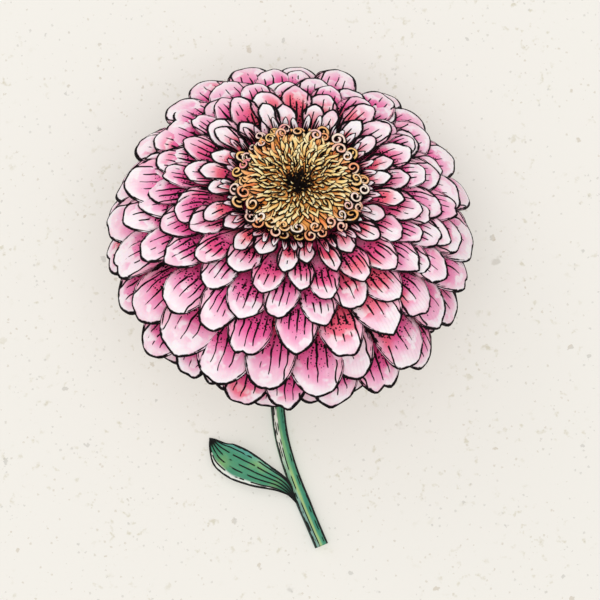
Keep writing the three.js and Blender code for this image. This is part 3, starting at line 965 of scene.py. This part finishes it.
def floret(bunch, number):
    """A narrow tongue that lies outward over the dome, a little wavy, blunt and crowned along its middle."""
    share = math.sqrt((number + 0.5) / FLORETS)
    radius = share * (DISC_RADIUS - 0.4)
    azimuth = number * GOLDEN_ANGLE + 0.05 * draw(number + 900.1)
    heading = 0.3 * draw(number + 900.8)
    length = lerp(*FLORET_LENGTHS, share) * (1 + 0.25 * draw(number + 900.2))
    half = lerp(*FLORET_HALF_WIDTHS, share) * (1 + 0.2 * draw(number + 900.3))
    rise = math.radians(lerp(*FLORET_ANGLES, min(1, share * 1.4)) + 7 * draw(number + 900.4))
    across = spread(FLORET_COLUMNS)
    v = np.linspace(0, 1, FLORET_STEPS)[:, None]
    blunt = np.sqrt(np.clip(1 - (np.clip(v - 0.6, 0, 1) / 0.42) ** 2, 0, 1))
    taper = blunt * lerp(0.6, 1.0, smoothstep(v, 0, 0.5))
    wave = FLORET_WAVE * np.sin(4.6 * v + 3 * draw(number + 900.5)) * share
    x = length * (v - 0.55) * math.cos(rise)
    z = length * (v - 0.55) * math.sin(rise) - 0.1 * length * v**2 + 0.15 * draw(number + 900.7)
    y = half * taper * across + wave
    crown = FLORET_CROWN * (1 - across**2) * taper
    x, y = x * math.cos(heading) - y * math.sin(heading), x * math.sin(heading) + y * math.cos(heading)
    points = np.concatenate([grid_points(x, y, z + crown), grid_points(x, y, z - FLORET_THICKNESS)])
    points = points + [radius, 0, disc_height(radius) + 0.15]
    edge = np.minimum((1 - np.abs(across)) * half * taper, (1 - v) * length + 0.05)
    bunch.add(
        from_bloom(about_z(points, azimuth)),
        FLORET_FACES,
        ring=share,
        tint=draw(number + 900.6),
        **on_both_faces(edge.shape, along=v, edge=edge),
    )


Bunch().gather(floret, range(FLORETS)).make("florets", floret_paint(), "disc_florets", "floret")

CURL_SIDES = 8
CURL_STEPS = 36
CURL_ANGLES = np.arange(CURL_SIDES) * math.tau / CURL_SIDES
CURL_CAP = np.arange(CURL_SIDES)
CURL_FACES = grid_faces(CURL_STEPS, CURL_SIDES, wrap=True).tolist()
CURL_FACES += [CURL_CAP[::-1].tolist(), (CURL_CAP + (CURL_STEPS - 1) * CURL_SIDES).tolist()]
CURL_HEIGHT = 1.15  # of the rod's section, against its width
# Rings of curls: radius, height over the disc's rim, size, and turn of the ring in steps.
CURL_RINGS = [(16.8, 0.6, 1.95, 0.0), (18.0, -1.4, 1.65, 0.25), (19.0, -0.4, 1.95, 0.5)]
OUTER_CURLS_BELOW = 0.35  # the draw under which a curl of the outer rings is there
CURL_WINDS = (-0.6, 1.95)  # half turns, from start to end
CURL_SHRINKS_TO = 0.24
CURL_CLIMBS = (-0.6, 0.35)
CURL_ROD = 0.34  # radius of the rod, as a share of the curl's size
CURL_TILT = math.radians(10)
CURL_TILT_DRAW = math.radians(24)


def curl(bunch, ring, number):
    """A rolled tip: a rod that leaves the rim and winds into one and a quarter turns."""
    ring_radius, rise, ring_size, shift = CURL_RINGS[ring]
    seed = number + 300 * ring
    if ring and draw(seed + 780) >= OUTER_CURLS_BELOW:
        return
    way = 1 if draw(seed + 700) > 0 else -1
    radius = ring_radius + 0.5 * draw(seed + 750)
    azimuth = (number + shift + 0.25 * draw(seed + 800)) * math.tau / CURLS
    size = ring_size * (1 + 0.17 * draw(seed + 760))
    t = np.linspace(0, 1, CURL_STEPS)
    angle = way * lerp(*CURL_WINDS, t) * math.pi + 0.9 * draw(seed + 770)
    spiral = size * lerp(1.0, CURL_SHRINKS_TO, t**0.85)
    path = np.stack([spiral * np.cos(angle), spiral * np.sin(angle), lerp(*CURL_CLIMBS, t)], axis=-1)
    rod = CURL_ROD * size * (1 - 0.2 * t) * np.sqrt(np.clip((1.03 - t) / 0.1, 0.05, 1))
    _, side, over = frames(path)
    level = np.cos(CURL_ANGLES)[None, :, None] * side[:, None, :]
    section = level + CURL_HEIGHT * np.sin(CURL_ANGLES)[None, :, None] * over[:, None, :]
    points = (path[:, None, :] + rod[:, None, None] * section).reshape(-1, 3)
    tilt = CURL_TILT_DRAW * draw(seed + 850) + CURL_TILT
    c, s = math.cos(tilt), math.sin(tilt)
    points = points @ np.array([[c, 0, -s], [0, 1, 0], [s, 0, c]])
    points = points + [radius, 0, disc_height(DISC_RADIUS) + rise + 0.4 * draw(seed + 41.3)]
    points = from_bloom(about_z(points, azimuth))
    bunch.add(points, CURL_FACES, tint=draw(seed + 41.1), edge=np.tile(np.sin(CURL_ANGLES), CURL_STEPS))


curls = Bunch().gather(curl, range(len(CURL_RINGS)), range(CURLS))
curls.make("curls", curl_paint(), "disc_florets", "floret")

# ---- Bracts ----

CUP_PROFILE = [
    (NECK_RADIUS, CUP_BOTTOM, 0),
    (7.5, CUP_BOTTOM + 2.2, 0),
    (11.4, CUP_BOTTOM + 6, 0),
    (CUP_RADIUS, CUP_TOP - GAP, 0),
]
CUP_TURNS = 64
BRACT_STEPS = 16
BRACT_COLUMNS = 15
BRACT_FACES = blade_faces(BRACT_STEPS, BRACT_COLUMNS)
BRACT_STARTS = (0.02, 0.4)  # shares of the profile, on the first row and the last
BRACT_ENDS = (0.56, 0.98)
BRACT_LENGTH = 9.0
BRACT_OVERLAP = 1.25
BRACT_STANDS_OFF = 0.8
BRACT_THICKNESS = 0.5


def bract(bunch, row, number):
    """A broad scale that hugs the cup, thicker in the middle, with a blunt dark rim."""
    start = lerp(*BRACT_STARTS, row / (BRACT_ROWS - 1))
    end = lerp(*BRACT_ENDS, row / (BRACT_ROWS - 1))
    azimuth = (number + (row % 2) / 2) * math.tau / BRACTS_PER_ROW + 0.04 * draw(row * 20 + number + 61.1)
    across = spread(BRACT_COLUMNS)
    down = np.linspace(0, 1, BRACT_STEPS)[:, None]
    reach = 0.62 + 0.38 * np.sqrt(1 - np.abs(across) ** 2.2)
    v = down * reach
    along = start + (end - start) * v
    where, ahead, behind = (
        catmull_rom(CUP_PROFILE, shares.ravel()).reshape(*v.shape, 3)
        for shares in (along, np.minimum(along + 0.01, 1), along - 0.01)
    )
    slope = ahead - behind
    slope = slope / np.linalg.norm(slope, axis=-1, keepdims=True)
    half = math.pi / BRACTS_PER_ROW * BRACT_OVERLAP * np.sin(np.clip(0.25 + 0.6 * v, 0, 1) * math.pi / 2)
    off = lerp(0.0, BRACT_STANDS_OFF, v) * (1 - 0.45 * across**2)
    thick = BRACT_THICKNESS * (1 - 0.6 * across**4)
    angle = azimuth + across * half
    layers = []
    for lift in (off + thick / 2, off - thick / 2 - 0.1):
        r = where[..., 0] + slope[..., 1] * lift
        z = where[..., 1] - slope[..., 0] * lift
        layers.append(grid_points(r * np.cos(angle), r * np.sin(angle), z))
    points = np.concatenate(layers)
    points[:, 2] = np.minimum(points[:, 2], CUP_TOP - GAP)
    edge = np.minimum((1 - np.abs(across)) * half * where[..., 0], (reach - v) * BRACT_LENGTH)
    bunch.add(from_bloom(points), BRACT_FACES, **on_both_faces(v.shape, edge=edge, along=v))


cup_side = [(p[0], p[1]) for p in catmull_rom(CUP_PROFILE, np.linspace(0, 1, 24))]
cup_points, cup_faces = lathe([(0, CUP_BOTTOM)] + cup_side + [(0, CUP_TOP - GAP)], CUP_TURNS)
bracts = Bunch().add(from_bloom(cup_points), cup_faces, edge=2.0, along=0.2)
bracts.gather(bract, range(BRACT_ROWS), range(BRACTS_PER_ROW))
bracts.make("bracts", bract_paint(), "involucre", "bract")

# ---- Stem ----

neck_down = BLOOM_TURN @ np.array([0.0, 0.0, -1.0])
neck_top = from_bloom(np.array([[0.0, 0.0, CUP_BOTTOM - GAP]]))[0]
STEM_PATH = [
    neck_top,
    neck_top + NECK_FLARE * neck_down,
    (-4.4, -5, STEM_LIES_AT + 1.6),
    (-4.9, -16, STEM_LIES_AT),
    (-4.2, -29, STEM_LIES_AT),
    (-2.9, -39.5, STEM_LIES_AT),
    (-0.4, -48.8, STEM_LIES_AT),
    (3.5, -59.1, STEM_LIES_AT),
    (9.3, -72.9, STEM_LIES_AT),
]
STEM_STEPS = 150
STEM_SIDES = 48
RIBS = 9
RIB_HEIGHT = 0.022  # share of the radius
SWELLING_AT = 78  # mm from the bloom, where the leaf joins
SWELLING = 0.05
SWELLING_LENGTH = 3
PITH_SHARE = 0.82
PITH_SINKS = (0.12, 0.3)  # at its ring and in its middle


def stem_mesh():
    """A ribbed tube along the stem's path, flat where it lies on the surface, with sunken pith at the cut."""
    line = catmull_rom(STEM_PATH, np.linspace(0, 1, 400))
    run = np.concatenate([[0], np.cumsum(np.linalg.norm(np.diff(line, axis=0), axis=1))])
    spots = np.linspace(0, run[-1], STEM_STEPS)
    line = np.stack([np.interp(spots, run, line[:, i]) for i in range(3)], axis=-1)
    ahead, side, over = frames(line)
    flare = STEM_RADIUS + (NECK_RADIUS - STEM_RADIUS) * np.exp(-((spots / 3.2) ** 1.4))
    around = np.arange(STEM_SIDES) * math.tau / STEM_SIDES
    ribs = 1 + RIB_HEIGHT * np.cos(RIBS * around)[None, :] * smoothstep(spots, 2, 12)[:, None]
    swell = 1 + SWELLING * bell(spots - SWELLING_AT, SWELLING_LENGTH)
    radii = (flare * swell)[:, None] * ribs
    points = (
        line[:, None, :]
        - (radii * np.cos(around))[..., None] * side[:, None, :]
        + (radii * np.sin(around))[..., None] * over[:, None, :]
    ).reshape(-1, 3)
    points[:, 2] = np.maximum(points[:, 2], 0.0)
    end = line[-1]
    pith_ring = end + PITH_SHARE * (points[-STEM_SIDES:] - end) - PITH_SINKS[0] * ahead[-1]
    pith_middle = end[None, :] - PITH_SINKS[1] * ahead[-1]
    points = np.vstack([points, pith_ring, pith_middle, line[:1]])
    faces = grid_faces(STEM_STEPS + 1, STEM_SIDES, wrap=True)[:, ::-1].tolist()
    ring = STEM_STEPS * STEM_SIDES
    middle = ring + STEM_SIDES
    faces += [[ring + i, ring + (i + 1) % STEM_SIDES, middle][::-1] for i in range(STEM_SIDES)]
    faces += [[i, (i + 1) % STEM_SIDES, middle + 1] for i in range(STEM_SIDES)]
    turned = np.arctan2(np.cos(around), np.sin(around)) / math.pi
    return Bunch().add(
        points,
        faces,
        around=np.concatenate([np.tile(turned, STEM_STEPS + 1), [0.0, 0.0]]),
        along=np.concatenate([np.repeat(np.linspace(0, 1, STEM_STEPS + 1), STEM_SIDES), [1.0, 0.0]]),
        pith=np.concatenate([np.zeros(STEM_STEPS * STEM_SIDES), np.ones(STEM_SIDES + 2)]),
    )


stem_mesh().make("stem_tube", stem_paint(), "stem", "stem")

# ---- Leaf ----

LEAF_MIDRIB = [
    (2.6, -60.2, 2.4),
    (-2.4, -54.6, 3.9),
    (-11.2, -50.4, 5.4),
    (-20.4, -45.4, 3.6),
    (-24.8, -40.2, 0.8),
]
# Shares of the length from the stem, and of the half-width there.
LEAF_OUTLINE = [
    (0, 0.13), (0.12, 0.2), (0.22, 0.4), (0.35, 0.62), (0.5, 0.88),
    (0.62, 1), (0.72, 0.92), (0.84, 0.58), (0.95, 0.24), (1.0, 0.02),
]
LEAF_STEPS = 80
LEAF_COLUMNS = 31
LEAF_LENGTH = 36
LEAF_THICKNESS = 0.55
LEAF_TROUGH = 0.14  # rise of the margins, as a share of the half-width
LEAF_WAVE = 0.35
MIDRIB_DEPTH = 0.2
SIDE_NERVE_DEPTH = 0.12
LEAF_LOWEST = 0.05


def leaf_mesh():
    """A thin pointed blade with a shallow trough, waved margins and sunken nerves."""
    v = np.linspace(0, 1, LEAF_STEPS)
    rib = catmull_rom(LEAF_MIDRIB, v)
    _, side, over = frames(rib)
    outline = catmull_rom([(a, b, 0) for a, b in LEAF_OUTLINE], np.linspace(0, 1, 200))
    half = LEAF_HALF_WIDTH * np.interp(v, *outline[:, :2].T)[:, None]
    v = v[:, None]
    across = spread(LEAF_COLUMNS)
    away = np.abs(across)
    trough = LEAF_TROUGH * half * away**1.3
    wave = LEAF_WAVE * away**2 * np.sin(16 * v + 2 * np.sign(across)) * smoothstep(half, 1.0, 4.0)
    nerves = -MIDRIB_DEPTH * bell(across, 0.06) - SIDE_NERVE_DEPTH * bell(away - 0.38, 0.05)
    lift = trough + wave + nerves * smoothstep(half, 0.6, 3.0)
    thick = LEAF_THICKNESS * (1 - 0.6 * across**6)
    flat = rib[:, None, :] + (half * across)[..., None] * side[:, None, :]
    points = blade_points(flat, lift, thick, over[:, None, :])
    points[:, 2] = np.maximum(points[:, 2], LEAF_LOWEST)
    edge = np.minimum(half * (1 - away), (1 - v) * LEAF_LENGTH)
    return Bunch().add(
        points,
        blade_faces(LEAF_STEPS, LEAF_COLUMNS)[:, ::-1],
        **on_both_faces(lift.shape, across=across, along=v, edge=edge, half=half),
    )


leaf_mesh().make("leaf_blade", leaf_paint(), "leaf", "leaf")

# ---- Floor ----

FLOOR_COLOUR = (243, 240, 233)
FLOOR_GLOW = 0.45  # share of the floor's colour that it gives by itself, for a light shadow
TAN = (190, 176, 150)
GREY = (182, 180, 172)
SMUDGE = (196, 188, 156)
# Flecks: cells per metre, the share of them that has one, its size in cells, and its strength.
FLECKS = [(600.0, 0.6, 0.24, 0.35), (160.0, 0.5, 0.15, 0.45), (55.0, 0.4, 0.1, 0.4)]
SCRAMBLE = 7.31  # makes a cell's colour a number of its own


def flecks(p, scale, share, size):
    """A factor that is 1 on scattered ragged specks."""
    distance, colour = p.cells(scale)
    chosen = (colour * SCRAMBLE).math("FRACT").step(1 - share, 1.0, 0.0, size)
    ragged = distance + p.waver(scale * 5) * (2.4 * size)
    return (ragged - chosen).below(-0.03, 0.01)


def floor_paint():
    """Cream paper with faint smudges and tan and grey flecks."""
    p = Paint("floor", 0.9)
    tone = p.mix(p.noise(60.0, 1.0).step(0.45, 0.55), TAN, GREY)
    smudge = p.noise(360.0, 4.0).step(0.58, 0.72) * p.noise(48.0).step(0.46, 0.6)
    paper = p.mix(smudge * 0.5, FLOOR_COLOUR, SMUDGE)
    for scale, share, size, strength in FLECKS:
        paper = p.mix(flecks(p, scale, share, size) * strength, paper, tone)
    p.set("Emission Color", paper)
    p.set("Emission Strength", FLOOR_GLOW)
    return p.colour(p.mix(FLOOR_GLOW, paper, (0, 0, 0)))


bpy.ops.mesh.primitive_plane_add(size=12.0, location=(0, 0, 0))
floor = bpy.context.object
floor.name = "floor"
floor.data.materials.append(floor_paint())
